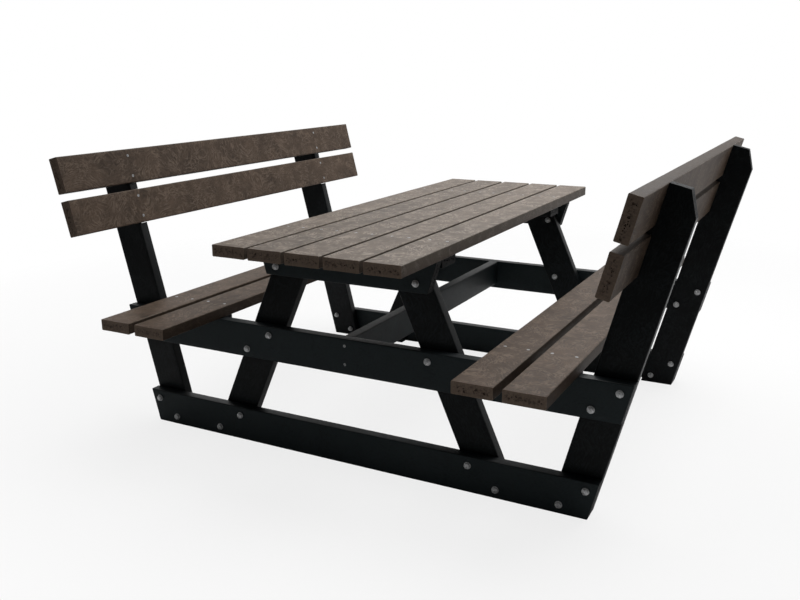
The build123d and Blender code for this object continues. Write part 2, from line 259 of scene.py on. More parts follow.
def flow_marks_group():
    """Whorled flow marks and fine mottling of plastic that was pressed into a mould."""
    group, given, result = new_group(
        "flow_marks",
        [("Vector", "NodeSocketVector"), ("Whorl", "NodeSocketFloat")],
        [(label, "NodeSocketFloat") for label in ("Streaks", "Mottle", "Patches", "Height")],
    )
    place = given.outputs["Vector"]
    slow = cloud(group, place, 5.0, 1.0).outputs["Color"]
    quick = cloud(group, place, 17.0, 1.0).outputs["Color"]
    slow = vector_sums(group, "SUBTRACT", slow, (0.5, 0.5, 0.5))
    quick = vector_sums(group, "SUBTRACT", quick, (0.5, 0.5, 0.5))
    slow_reach = sums(group, "MULTIPLY", given.outputs["Whorl"], 0.30)
    quick_reach = sums(group, "MULTIPLY", given.outputs["Whorl"], 0.06)
    slow = put(group, "ShaderNodeVectorMath", {0: slow, "Scale": slow_reach}, operation="SCALE").outputs[0]
    quick = put(group, "ShaderNodeVectorMath", {0: quick, "Scale": quick_reach}, operation="SCALE").outputs[0]
    moved = vector_sums(group, "ADD", vector_sums(group, "ADD", place, slow), quick)
    drawn = put(group, "ShaderNodeMapping", {"Vector": moved, "Scale": (1.0, 0.28, 1.0)}).outputs[0]
    lines = cloud(group, drawn, 70.0, 2.0, 0.55).outputs["Fac"]
    ridge = sums(group, "ABSOLUTE", sums(group, "SUBTRACT", lines, 0.5))
    streaks = sums(group, "POWER", spread(group, ridge, 0.0, 0.08, 1.0, 0.0), 1.2)
    broken = spread(group, cloud(group, place, 22.0, 2.0).outputs["Fac"], 0.38, 0.58)
    streaks = sums(group, "MULTIPLY", streaks, broken)
    hairs = spread(group, cloud(group, drawn, 190.0, 2.0, 0.6).outputs["Fac"], 0.36, 0.64)
    grit = spread(group, cloud(group, place, 330.0, 3.0, 0.6).outputs["Fac"], 0.32, 0.68)
    mottle = sums(group, "MULTIPLY_ADD", hairs, 0.6, sums(group, "MULTIPLY", grit, 0.4))
    patches = spread(group, cloud(group, place, 7.0, 3.0, 0.6, 0.4).outputs["Fac"], 0.34, 0.66)
    height = sums(group, "ADD", sums(group, "MULTIPLY", mottle, 0.6), sums(group, "MULTIPLY", streaks, 0.5))
    for label, value in (("Streaks", streaks), ("Mottle", mottle), ("Patches", patches), ("Height", height)):
        group.links.new(value, result.inputs[label])
    return group


def edge_wear_and_highlight_group():
    """Rubbed wear and a painted highlight along the long edges, broken up so that the line isn't even."""
    group, given, result = new_group(
        "edge_wear_and_highlight",
        [("Vector", "NodeSocketVector"), ("Edge", "NodeSocketFloat")],
        [("Wear_and_highlight", "NodeSocketFloat")],
    )
    rough = cloud(group, given.outputs["Vector"], 60.0, 4.0, 0.65).outputs["Fac"]
    lifted = sums(group, "ADD", given.outputs["Edge"], spread(group, rough, 0.3, 0.7, -0.45, 0.25))
    group.links.new(spread(group, lifted, 0.35, 1.0), result.inputs["Wear_and_highlight"])
    return group


def sawn_pores_group():
    """Saw lines and the pores of a foamed core on a sawn end."""
    group, given, result = new_group(
        "sawn_pores",
        [("Vector", "NodeSocketVector"), ("Core", "NodeSocketFloat")],
        [(label, "NodeSocketFloat") for label in ("Pores", "Lines", "Height")],
    )
    place = given.outputs["Vector"]
    cells = put(group, "ShaderNodeTexVoronoi", {"Vector": place, "Scale": 420.0, "Randomness": 1.0})
    holes = spread(group, cells.outputs["Distance"], 0.18, 0.42, 1.0, 0.0)
    dotted = spread(group, cloud(group, place, 150.0, 3.0, 0.6).outputs["Fac"], 0.50, 0.62)
    inside = spread(group, given.outputs["Core"], 0.25, 0.75)
    pores = sums(group, "MULTIPLY", sums(group, "MULTIPLY", holes, dotted), inside)
    foam = sums(group, "MULTIPLY", inside, sums(group, "MULTIPLY", dotted, 0.55))
    pores = sums(group, "MAXIMUM", pores, foam)
    saw = put(group, "ShaderNodeMapping", {"Vector": place, "Scale": (1.0, 1.0, 0.06)}).outputs[0]
    lines = spread(group, cloud(group, saw, 520.0, 2.0).outputs["Fac"], 0.35, 0.65)
    height = sums(group, "SUBTRACT", sums(group, "MULTIPLY", lines, 0.4), pores)
    for label, value in (("Pores", pores), ("Lines", lines), ("Height", height)):
        group.links.new(value, result.inputs[label])
    return group


def shared_group(name):
    """The shader group of that name, made the first time it is asked for."""
    makers = {"flow_marks": flow_marks_group, "edge_wear_and_highlight": edge_wear_and_highlight_group, "sawn_pores": sawn_pores_group}
    return bpy.data.node_groups.get(name) or makers[name]()


def use_group(tree, name, inputs):
    """A shared group placed in a material."""
    made = tree.nodes.new("ShaderNodeGroup")
    made.node_tree = shared_group(name)
    for key, value in inputs.items():
        if isinstance(value, bpy.types.NodeSocket):
            tree.links.new(value, made.inputs[key])
        else:
            made.inputs[key].default_value = value
    return made


def new_material(name, specular):
    """A material with its Principled shader; gives the material, its tree and the shader."""
    material = bpy.data.materials.new(name)
    material.use_nodes = True
    shader = material.node_tree.nodes["Principled BSDF"]
    shader.inputs["Specular IOR Level"].default_value = specular
    return material, material.node_tree, shader


def opaque(colour):
    """A colour with full alpha."""
    return (*colour, 1.0)


def own_value(tree, name, output):
    """A value the piece carries on its own mesh."""
    return put(tree, "ShaderNodeAttribute", attribute_name=name).outputs[output]


def bumps(tree, shader, height, strength, distance):
    """Small relief on a material."""
    inputs = {"Height": height, "Strength": strength, "Distance": distance}
    made = put(tree, "ShaderNodeBump", inputs)
    tree.links.new(made.outputs["Normal"], shader.inputs["Normal"])


def board_skin_material(name, dark, light, marks_and_highlight, streak, whorl, specular, roughness):
    """Moulded skin of a board: whorled flow marks, fine mottling, rubbed edges with a painted highlight, and
    painted shade on the narrow sides.
    """
    material, tree, shader = new_material(name, specular)
    place = own_value(tree, "grain", "Vector")
    marks = use_group(tree, "flow_marks", {"Vector": place, "Whorl": whorl})
    wear_and_highlight = use_group(tree, "edge_wear_and_highlight", {"Vector": place, "Edge": own_value(tree, "edge", "Fac")})
    tone_and_painted_light = own_value(tree, "tone_and_painted_light", "Fac")
    share = sums(tree, "MULTIPLY_ADD", marks.outputs["Mottle"], 0.65, -0.02)
    share = sums(tree, "MULTIPLY_ADD", marks.outputs["Patches"], 0.30, share)
    # painted light and shade: the per-board tone also carries the lighter rails and the darker legs and posts
    share = sums(tree, "ADD", share, tone_and_painted_light)
    colour = blend_colour(tree, share, opaque(dark), opaque(light))
    lines = sums(tree, "MULTIPLY", marks.outputs["Streaks"], streak)
    colour = blend_colour(tree, lines, colour, opaque(marks_and_highlight))
    # painted shade: the narrow sides of every board are mixed towards the dark colour, standing in for the
    # shade in the gaps between boards
    painted_flank_shade = own_value(tree, "painted_flank_shade", "Fac")
    shadow = sums(tree, "MULTIPLY", painted_flank_shade, 0.8)
    colour = blend_colour(tree, shadow, colour, opaque(dark))
    # rubbed wear and painted highlight: the long edges are mixed towards the light flow-mark colour
    rubbed_and_highlight = sums(tree, "MULTIPLY", wear_and_highlight.outputs["Wear_and_highlight"], 0.5)
    colour = blend_colour(tree, rubbed_and_highlight, colour, opaque(marks_and_highlight))
    tree.links.new(colour, shader.inputs["Base Color"])
    gloss = sums(tree, "MULTIPLY_ADD", marks.outputs["Mottle"], 0.14, roughness)
    gloss = sums(tree, "MULTIPLY_ADD", wear_and_highlight.outputs["Wear_and_highlight"], -0.12, gloss)
    tree.links.new(gloss, shader.inputs["Roughness"])
    bumps(tree, shader, marks.outputs["Height"], 0.35, 0.0006)
    return material


def sawn_end_material(name, light, dark, specular):
    """Sawn end of a board: fine saw lines and a porous core."""
    material, tree, shader = new_material(name, specular)
    place = own_value(tree, "grain", "Vector")
    pores = use_group(tree, "sawn_pores", {"Vector": place, "Core": own_value(tree, "core", "Fac")})
    marks = use_group(tree, "flow_marks", {"Vector": place, "Whorl": 0.2})
    share = sums(tree, "MULTIPLY_ADD", pores.outputs["Lines"], 0.35, 0.25)
    share = sums(tree, "MULTIPLY_ADD", marks.outputs["Mottle"], 0.40, share)
    middle = tuple(0.5 * (first + second) for first, second in zip(light, dark))
    colour = blend_colour(tree, share, opaque(middle), opaque(light))
    colour = blend_colour(tree, pores.outputs["Pores"], colour, opaque(dark))
    tree.links.new(colour, shader.inputs["Base Color"])
    gloss = sums(tree, "MULTIPLY_ADD", pores.outputs["Pores"], 0.25, 0.62)
    tree.links.new(gloss, shader.inputs["Roughness"])
    bumps(tree, shader, pores.outputs["Height"], 0.5, 0.0008)
    return material


def zinc_material(name, bright, dull, roughness):
    """Zinc plating with soft dull patches and fine scratches."""
    material, tree, shader = new_material(name, 0.5)
    place = put(tree, "ShaderNodeTexCoord").outputs["Object"]
    shader.inputs["Metallic"].default_value = 0.6
    patches = spread(tree, cloud(tree, place, 260.0, 3.0, 0.6).outputs["Fac"], 0.36, 0.64)
    fine = cloud(tree, place, 1500.0, 2.0).outputs["Fac"]
    colour = blend_colour(tree, patches, opaque(dull), opaque(bright))
    tree.links.new(colour, shader.inputs["Base Color"])
    gloss = sums(tree, "MULTIPLY_ADD", patches, -0.12, roughness + 0.1)
    gloss = sums(tree, "MULTIPLY_ADD", fine, 0.10, gloss)
    tree.links.new(gloss, shader.inputs["Roughness"])
    bumps(tree, shader, fine, 0.15, 0.0002)
    return material


def finish_materials(finish):
    """Every finish of the table by name, made the first time it is asked for."""
    if "zinc_plate" not in bpy.data.materials:
        top = (finish.top_dark, finish.top_light, finish.top_marks_and_highlight)
        seating = (finish.seat_dark, finish.seat_light, finish.seat_marks_and_highlight)
        black = (finish.frame_dark, finish.frame_light, finish.frame_marks_and_highlight)
        board_skin_material("tabletop_skin", *top, streak=0.75, whorl=1.0, specular=0.16, roughness=0.46)
        board_skin_material("seating_skin", *seating, streak=0.50, whorl=1.0, specular=0.11, roughness=0.48)
        board_skin_material("frame_skin", *black, streak=0.30, whorl=0.8, specular=0.22, roughness=0.42)
        sawn_end_material("brown_sawn_end", finish.sawn_light, finish.sawn_dark, specular=0.25)
        sawn_end_material("black_sawn_end", finish.frame_sawn, finish.frame_dark, specular=0.15)
        zinc_material("zinc_plate", finish.zinc, finish.zinc_dull, roughness=0.30)
        zinc_material("screw_steel", finish.zinc_dull, finish.zinc_dark, roughness=0.24)
    return {material.name: material for material in bpy.data.materials}


# ---- joiner's work on one board, in the board's own axes: width X, length Y, thickness Z ----
def all_of(bm):
    """Every vertex, edge and face of a mesh."""
    return bm.verts[:] + bm.edges[:] + bm.faces[:]


def slice_through(bm, facing, places, faces=None):
    """Cut edges into the mesh, or into some of its faces, where parallel planes cross it."""
    for place in places:
        if faces is None:
            geom = all_of(bm)
        else:
            near = [f for f in faces if f.is_valid]
            edges = {e for f in near for e in f.edges}
            verts = {v for f in near for v in f.verts}
            geom = near + list(edges) + list(verts)
        cut = bmesh.ops.bisect_plane(bm, geom=geom, dist=1e-6, plane_co=facing * place, plane_no=facing)
        if faces is not None:
            faces.update(g for g in cut["geom"] if isinstance(g, bmesh.types.BMFace))


def steps(low, high, pitch):
    """Even places between two ends, about one pitch apart, leaving the ends out."""
    count = max(1, round((high - low) / pitch))
    return [low + (high - low) * number / count for number in range(1, count)]


def moulded_bar(length, width, thickness, board, seed):
    """A straight moulded bar with rounded long edges, sunk faces and slow waves."""
    bm = bmesh.new()
    bmesh.ops.create_cube(bm, size=1.0)
    bmesh.ops.scale(bm, vec=(width, length, thickness), verts=bm.verts)
    corners = [e for e in bm.edges if abs(e.verts[0].co.y - e.verts[1].co.y) > 0.5 * length]
    bmesh.ops.bevel(
        bm,
        geom=corners,
        offset=board.edge_radius,
        offset_type="OFFSET",
        affect="EDGES",
        segments=4,
        profile=0.5,
        material=-1,
    )
    half_width = width / 2
    half_thickness = thickness / 2
    flat = half_width - board.edge_radius
    slice_through(bm, X, steps(-flat, flat, board.slice_width))
    flat = half_thickness - board.edge_radius
    slice_through(bm, Z, steps(-flat, flat, board.slice_width))
    slice_through(bm, Y, steps(-length / 2, length / 2, board.slice_length))
    bm.normal_update()
    shift = Vector((seed * 3.1, seed * 7.7, seed * 1.3))
    for vert in bm.verts:
        x, _, z = vert.co
        normal = vert.normal.copy()
        across = 1 - (x / half_width) ** 2
        through = 1 - (z / half_thickness) ** 2
        sunk = board.sink * (across if abs(z) > half_thickness - 1e-5 else 0.0)
        sunk += 0.5 * board.sink * (through if abs(x) > half_width - 1e-5 else 0.0)
        waves = noise.noise(vert.co * 8 + shift) + 0.5 * noise.noise(vert.co * 23 + shift)
        vert.co -= normal * (sunk + board.wave * (0.6 + 0.5 * waves))
    return bm


def saw_off(bm, point, facing, board):
    """Saw the bar off where a plane crosses it and close the end with one flat face."""
    lower = point - facing * board.end_chamfer
    cut = bmesh.ops.bisect_plane(
        bm, geom=all_of(bm), dist=1e-6, plane_co=lower, plane_no=facing, clear_outer=True
    )
    rim = [g for g in cut["geom_cut"] if isinstance(g, bmesh.types.BMEdge)]
    for face in bmesh.ops.edgeloop_fill(bm, edges=rim)["faces"]:
        face.material_index = 1
        face.normal_update()
        if face.normal.dot(facing) < 0:
            face.normal_flip()


def inset(bm, faces, thickness, depth):
    """Inset some faces together by an even width and raise or sink them."""
    bmesh.ops.inset_region(
        bm, faces=faces, thickness=thickness, depth=depth, use_boundary=True, use_even_offset=True
    )


def press_pores(bm, cells, board, luck):
    """Press small ragged holes into the middle of a sawn end."""
    if not cells:
        return
    centres = [f.calc_center_median() for f in cells]
    low, high = box_round(centres)
    used = set()
    count = round(board.pores * max(high.x - low.x, 0.02) / board.width)
    for _ in range(count):
        share = luck.random()
        spot = low.lerp(high, share)
        spot.x = low.x + (high.x - low.x) * luck.uniform(0.04, 0.96)
        spot.z = (low.z + high.z) / 2 + (high.z - low.z) * luck.gauss(0.0, 0.13)
        reach = board.pore_cell * luck.choice((0.55, 0.6, 0.7, 0.9, 1.2))
        hole = []
        for face, centre in zip(cells, centres):
            if face not in used and hypot(centre.x - spot.x, (centre.z - spot.z) * 1.3) < reach:
                hole.append(face)
        if not hole:
            continue
        edges = {e for f in hole for e in f.edges}
        used.update(hole)
        used.update(f for e in edges for f in e.link_faces)
        inset(bm, hole, board.pore_wall, -board.pore_depth * luck.uniform(0.35, 1.0))


def work_sawn_ends(bm, board, luck):
    """Break the edges of each sawn end, roughen it, and press the pores of the core."""
    for end in [f for f in bm.faces if f.material_index == 1]:
        facing = end.normal.copy()
        inset(bm, [end], board.end_chamfer, board.end_chamfer)
        inset(bm, [end], board.edge_radius - 2 * board.end_chamfer, 0.0)
        corners = [v.co for v in end.verts]
        rim = set(end.verts)
        cells = {end}
        for axis, letter in ((X, 0), (Z, 2)):
            low = min(c[letter] for c in corners)
            high = max(c[letter] for c in corners)
            slice_through(bm, axis, steps(low, high, board.pore_cell), cells)
        cells = {f for f in cells if f.is_valid}
        outline = {v for f in cells for v in f.verts if any(g not in cells for g in v.link_faces)}
        loose = {v for f in cells for v in f.verts} - outline - rim
        for vert in sorted(loose, key=lambda v: v.index):
            slip = Vector((luck.uniform(-1, 1), luck.uniform(-1, 1), luck.uniform(-1, 1)))
            slip -= facing * slip.dot(facing)
            vert.co += slip * board.pore_cell * 0.22 - facing * luck.uniform(0.0, 0.0002)
        ordered = sorted(cells, key=lambda f: tuple(round(c, 6) for c in f.calc_center_median()))
        press_pores(bm, ordered, board, luck)


def loose_object(bm, name):
    """A helper object that holds a mesh while a cut is made."""
    mesh = bpy.data.meshes.new(name)
    bm.to_mesh(mesh)
    bm.free()
    mesh.materials.append(None)
    mesh.materials.append(None)
    made = bpy.data.objects.new(name, mesh)
    bpy.context.scene.collection.objects.link(made)
    return made


def cut_away(bm, cutter):
    """Take the cutter's shape out of the board and give the board back."""
    solid = loose_object(bm, "board_being_cut")
    tool = loose_object(cutter, "cutter")
    change = solid.modifiers.new("cut", "BOOLEAN")
    change.operation = "DIFFERENCE"
    change.solver = "EXACT"
    change.object = tool
    graph = bpy.context.evaluated_depsgraph_get()
    result = bpy.data.meshes.new_from_object(solid.evaluated_get(graph))
    board = bmesh.new()
    board.from_mesh(result)
    leftovers = [solid.data, tool.data, result]
    bpy.data.objects.remove(solid)
    bpy.data.objects.remove(tool)
    for mesh in leftovers:
        bpy.data.meshes.remove(mesh)
    return board


def turned(profile, segments, closed=False):
    """A solid turned about Z from (radius, height) points; a closed profile makes a ring."""
    bm = bmesh.new()
    verts = [bm.verts.new((radius, 0, height)) for radius, height in profile]
    following = verts[1:] + verts[:1] if closed else verts[1:]
    edges = [bm.edges.new(pair) for pair in zip(verts, following)]
    bmesh.ops.spin(
        bm,
        geom=verts + edges,
        cent=(0, 0, 0),
        axis=(0, 0, 1),
        angle=2 * pi,
        steps=segments,
        use_merge=True,
        use_duplicate=False,
    )
    bmesh.ops.remove_doubles(bm, verts=bm.verts, dist=1e-6)
    bmesh.ops.recalc_face_normals(bm, faces=bm.faces)
    return bm


def stamp(template, places):
    """One mesh that holds a copy of the template at every place."""
    mesh = bpy.data.meshes.new("template")
    template.to_mesh(mesh)
    template.free()
    bm = bmesh.new()
    for place in places:
        start = len(bm.verts)
        bm.from_mesh(mesh)
        bm.verts.ensure_lookup_table()
        bmesh.ops.transform(bm, matrix=place, verts=bm.verts[start:])
    bpy.data.meshes.remove(mesh)
    return bm


def standing(point, facing, turn=0.0):
    """Matrix that sets a turned solid at a point, its top towards `facing`."""
    upright = facing.to_track_quat("Z", "Y").to_matrix().to_4x4()
    return Matrix.Translation(point) @ upright @ Matrix.Rotation(turn, 4, "Z")


# ---- what the CAD model says ----
def solids_of(node):
    """The corner points of each separate solid in a CAD node."""
    bm = bmesh.new()
    bm.from_mesh(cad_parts[node].data)
    bmesh.ops.remove_doubles(bm, verts=bm.verts, dist=1e-5)
    left = set(bm.verts)
    found = []
    for first in bm.verts:
        if first not in left:
            continue
        left.discard(first)
        waiting = [first]
        points = []
        while waiting:
            vert = waiting.pop()
            points.append(vert.co.copy())
            for edge in vert.link_edges:
                other = edge.other_vert(vert)
                if other in left:
                    left.discard(other)
                    waiting.append(other)
        found.append(points)
    bm.free()
    return sorted(found, key=lambda points: tuple(round(c, 5) for c in middle_of(points)))


def box_round(points):
    """Lowest and highest corner of the box round some points."""
    low = Vector([min(p[i] for p in points) for i in range(3)])
    high = Vector([max(p[i] for p in points) for i in range(3)])
    return low, high


def middle_of(points):
    """Middle of the box round some points."""
    low, high = box_round(points)
    return (low + high) / 2


def extent(points, direction):
    """How far back and how far out some points reach along a direction."""
    reaches = [p.dot(direction) for p in points]
    return min(reaches), max(reaches)


def screw_facings(lean):
    """Which way the screw heads of each CAD node face, given where the screw is."""
    facings = {
        "tabletop_screws": lambda middle: Z,
        "batten_screws": lambda middle: -Z,
        "beam_screws": lambda middle: Y if middle.y > 0 else -Y,
        "cleat_screws": lambda middle: -Y if middle.y > 0 else Y,
    }
    for name, side in SIDES:
        outward = Vector((-side * cos(lean), 0, sin(lean)))
        facings[f"{name}_seat_screws"] = lambda middle: Z
        facings[f"{name}_back_screws"] = lambda middle, outward=outward: outward
    return facings


def screw_heads(lean):
    """For each CAD node of screws: the middle of each head, the way it faces, and the screw's length."""
    heads = {}
    for node, facing_at in screw_facings(lean).items():
        heads[node] = []
        for points in solids_of(node):
            facing = facing_at(middle_of(points))
            tail, head = extent(points, facing)
            face = [p for p in points if p.dot(facing) > head - 1e-4]
            heads[node].append((sum(face, Vector()) / len(face), facing, head - tail))
    return heads


def bolt_lines():
    """Middle of every frame bolt."""
    return [middle_of(points) for end, _ in ENDS for points in solids_of(f"{end}_frame_bolts")]


# ---- making boards into pieces ----
class Workshop:
    """What every operator needs: the settings, the finishes, and where the fasteners are."""

    def __init__(self, scene):
        self.board = scene.table_boards
        self.cuts = scene.table_frames
        self.fasteners = scene.table_fasteners
        self.materials = finish_materials(scene.table_finish)
        self.heads = [h for heads in screw_heads(self.cuts.post_lean).values() for h in heads]
        self.bolts = bolt_lines()

    def drill(self, to_world, width, length, thickness, bolted):
        """Holes for the screws whose heads lie on this board and, if it is bolted, for its bolts."""
        to_board = to_world.inverted()
        holes = []
        fasteners = self.fasteners
        half = thickness / 2
        for point, facing, _ in self.heads:
            local = to_board @ point
            heading = to_board.to_3x3() @ facing
            on_board = abs(local.x) < width / 2 and abs(local.y) < length / 2
            if on_board and abs(abs(local.z) - half) < 0.001 and abs(heading.z) > 0.99:
                holes.append(("screw", standing(local, heading)))
        for point in self.bolts if bolted else []:
            local = to_board @ point
            if abs(local.x) < width / 2 and abs(local.y) < length / 2 and abs(local.z) < 4 * half:
                holes.append(("bolt", Matrix.Translation((local.x, local.y, 0))))
        head = fasteners.screw_head / 2 + HEAD_ROOM
        shank = fasteners.screw_diameter / 2 + SHANK_ROOM
        bottom = -thickness - CUTTER_PAST
        screw_profile = (
            (0, CUTTER_PAST),
            (head + SHANK_ROOM, CUTTER_PAST),
            (head, -fasteners.screw_sink),
            (shank, -fasteners.screw_head_height - fasteners.screw_sink),
            (shank, bottom),
            (0, bottom),
        )
        bolt = fasteners.bolt_hole / 2
        reach = fasteners.bolt_drill_reach
        bolt_profile = ((0, reach), (bolt, reach), (bolt, -reach), (0, -reach))
        tools = []
        for kind, profile, segments in (("screw", screw_profile, 20), ("bolt", bolt_profile, 16)):
            places = [place for hole, place in holes if hole == kind]
            if places:
                tools.append(stamp(turned(profile, segments), places))
        return tools

    def make_board(self, node, middle, along, across, length, width, family, **work):
        """Mould a bar, saw it to length, cut and drill it, and put it in place of its CAD node.

        The work on one board is its `saws`, as pairs of a point and a way to face, and if it needs them
        its `notches`, whether it is `bolted`, its own `thickness`, `spare` length and `shade`, which paints
        light and shade.
        """
        skin, sawn, slot = family
        board = self.board
        seed = sorted(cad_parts).index(node) + 1
        luck = random.Random(seed)
        through = across.cross(along)
        low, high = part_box(node)
        thickness = work.get("thickness") or abs((high - low).dot(through))
        to_world = Matrix.Translation(middle) @ Matrix((across, along, through)).transposed().to_4x4()
        to_board = to_world.inverted()
        bm = moulded_bar(length + work.get("spare", SPARE), width, thickness, board, seed)
        for point, facing in work["saws"]:
            saw_off(bm, to_board @ point, (to_board.to_3x3() @ facing).normalized(), board)
        work_sawn_ends(bm, board, luck)
        for cutter in work.get("notches", []):
            bm = cut_away(bm, cutter)
        for tool in self.drill(to_world, width, length + SPARE, thickness, work.get("bolted", False)):
            bm = cut_away(bm, tool)
        inside = [v.co.copy() for v in bm.verts]
        bmesh.ops.transform(bm, matrix=to_world, verts=bm.verts)
        piece = add_piece(bm, f"moulded_{node}", [self.materials[skin], self.materials[sawn]], [node])
        # painted light and shade: the rails get a lighter offset and the legs and posts a darker one; the
        # small random part is each board's own tone
        shade = work.get("shade", 0.0) + luck.uniform(-0.08, 0.08)
        self.mark_board(piece, inside, width, thickness, shade, luck)

    def mark_board(self, piece, inside, width, thickness, shade, luck):
        """Store on the mesh its grain, its shade with painted light, and where its edges, narrow sides and
        core are; the narrow sides get painted shade.
        """
        radius = self.board.edge_radius
        shift = Vector((luck.uniform(0, 40), luck.uniform(0, 40), luck.uniform(0, 40)))
        values = {"edge": [], "core": [], "painted_flank_shade": [], "tone_and_painted_light": [shade] * len(inside)}
        grain = []
        for point in inside:
            from_side = width / 2 - abs(point.x)
            from_face = thickness / 2 - abs(point.z)
            values["edge"].append(max(0.0, 1 - max(from_side, from_face) / radius) / 0.7)
            # where the painted shade of the narrow sides goes: 1 on a narrow side, fading out over the edge
            # radius
            values["painted_flank_shade"].append(max(0.0, 1 - from_side / radius))
            values["core"].append(max(0.0, min(1.0, min(from_side, from_face) / (thickness / 2))))
            grain.extend(point + shift)
        made = piece.data.attributes.new("grain", "FLOAT_VECTOR", "POINT")
        made.data.foreach_set("vector", grain)
        for name, numbers in values.items():
            made = piece.data.attributes.new(name, "FLOAT", "POINT")
            made.data.foreach_set("value", numbers)


def add_piece(bm, name, materials, nodes, crease=32.0):
    """Make a finished mesh a piece that rides with the table and stands for its CAD nodes."""
    for face in bm.faces:
        face.smooth = True
    for edge in bm.edges:
        edge.smooth = edge.is_manifold and edge.calc_face_angle(0.0) < radians(crease)
    mesh = bpy.data.meshes.new(name)
    bm.to_mesh(mesh)
    bm.free()
    for material in materials:
        mesh.materials.append(material)
    piece = bpy.data.objects.new(name, mesh)
    bpy.context.scene.collection.objects.link(piece)
    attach(piece, "root")
    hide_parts(*nodes)
    return piece


def square_ends(middle, along, length):
    """Saw cuts that square off both ends of a board."""
    return [(middle + along * (length / 2), along), (middle - along * (length / 2), -along)]


def straight_piece(shop, node, along, across, family):
    """Make a board whose box in the CAD model is its own size."""
    low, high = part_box(node)
    middle = (low + high) / 2
    size = high - low
    length = abs(size.dot(along))
    width = abs(size.dot(across))
    saws = square_ends(middle, along, length)
    shop.make_board(node, middle, along, across, length, width, family, saws=saws)


class TABLE_OT_tabletop(bpy.types.Operator):
    """Make the five boards of the tabletop"""

    bl_idname = "picnic.tabletop"
    bl_label = "Tabletop boards"

    def execute(self, context):
        shop = Workshop(context.scene)
        for node in TOP_BOARDS:
            straight_piece(shop, node, Y, X, TABLETOP)
        return {"FINISHED"}


class TABLE_OT_seats(bpy.types.Operator):
    """Make the two boards of each seat"""

    bl_idname = "picnic.seats"
    bl_label = "Seat boards"

    def execute(self, context):
        shop = Workshop(context.scene)
        for side, _ in SIDES:
            for row in ("inner", "outer"):
                node = f"{side}_seat_{row}_board"
                straight_piece(shop, node, Y, X, SEATING)
        return {"FINISHED"}


class TABLE_OT_backrests(bpy.types.Operator):
    """Make the two leaning boards of each backrest"""

    bl_idname = "picnic.backrests"
    bl_label = "Backrest boards"

    def execute(self, context):
        shop = Workshop(context.scene)
        lean = shop.cuts.post_lean
        for name, side in SIDES:
            across = Vector((side * sin(lean), 0, cos(lean)))
            for row in ("lower", "upper"):
                node = f"{name}_back_{row}_board"
                low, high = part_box(node)
                middle = (low + high) / 2
                length = high.y - low.y
                shop.make_board(
                    node, middle, Y, across, length, shop.board.width, SEATING,
                    saws=square_ends(middle, Y, length), thickness=shop.board.thickness,
                )
        return {"FINISHED"}


def slanted_rail(shop, node, slope):
    """Make a rail whose two ends are sawn at a slope, longer along its upper edge."""
    low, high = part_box(node)
    middle = (low + high) / 2
    right = Vector((cos(slope), 0, -sin(slope)))
    left = Vector((-cos(slope), 0, -sin(slope)))
    saws = [(Vector((high.x, middle.y, high.z)), right), (Vector((low.x, middle.y, high.z)), left)]
    shop.make_board(
        node, middle, X, Z, high.x - low.x, high.z - low.z, BLACK_FRAME,
        saws=saws, bolted=True, shade=RAIL_PAINTED_LIGHT,
    )


class TABLE_OT_rails(bpy.types.Operator):
    """Make the ground, seat and top rails of both end frames"""

    bl_idname = "picnic.rails"
    bl_label = "Frame rails"

    def execute(self, context):
        shop = Workshop(context.scene)
        for end, _ in ENDS:
            slanted_rail(shop, f"{end}_ground_rail", shop.cuts.post_lean)
            slanted_rail(shop, f"{end}_seat_rail", shop.cuts.post_lean)
            low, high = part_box(f"{end}_top_rail")
            slope = atan2(shop.cuts.top_rail_end, high.z - low.z)
            slanted_rail(shop, f"{end}_top_rail", slope)
        return {"FINISHED"}


class TABLE_OT_legs(bpy.types.Operator):
    """Make the raked legs of both end frames"""

    bl_idname = "picnic.legs"
    bl_label = "Raked legs"

    def execute(self, context):
        shop = Workshop(context.scene)
        rake = shop.cuts.leg_rake
        width = shop.board.width
        for end, _ in ENDS:
            for name, side in SIDES:
                node = f"{end}_{name}_leg"
                low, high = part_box(node)
                y = (low.y + high.y) / 2
                outer = max(abs(low.x), abs(high.x)) - width / 2 / cos(rake)
                foot = Vector((side * outer, y, 0))
                along = Vector((-side * sin(rake), 0, cos(rake)))
                across = Vector((side * cos(rake), 0, sin(rake)))
                length = high.z / cos(rake)
                middle = foot + along * (length / 2)
                saws = [(foot, -Z), (Vector((0, y, high.z)), Z)]
                shop.make_board(
                    node, middle, along, across, length, width, BLACK_FRAME,
                    saws=saws, bolted=True, spare=RAKED_SPARE, shade=UPRIGHT_PAINTED_SHADE,
                )
        return {"FINISHED"}


def notch_cutter(shop, board_node, foot, along, across, to_board):
    """A block the shape of the notch that takes one backrest board."""
    low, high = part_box(board_node)
    middle = (low + high) / 2 - foot
    stop = middle.dot(across) + shop.board.thickness / 2
    start = stop - 0.3
    half = shop.board.width / 2 + shop.cuts.notch_clearance
    bm = bmesh.new()
    bmesh.ops.create_cube(bm, size=1.0)
    bmesh.ops.scale(bm, vec=(stop - start, 2 * half, 0.1), verts=bm.verts)
    centre = foot + along * middle.dot(along) + across * ((start + stop) / 2)
    centre.y = foot.y
    bmesh.ops.translate(bm, vec=to_board @ centre, verts=bm.verts)
    for face in bm.faces:
        face.material_index = 1
    return bm


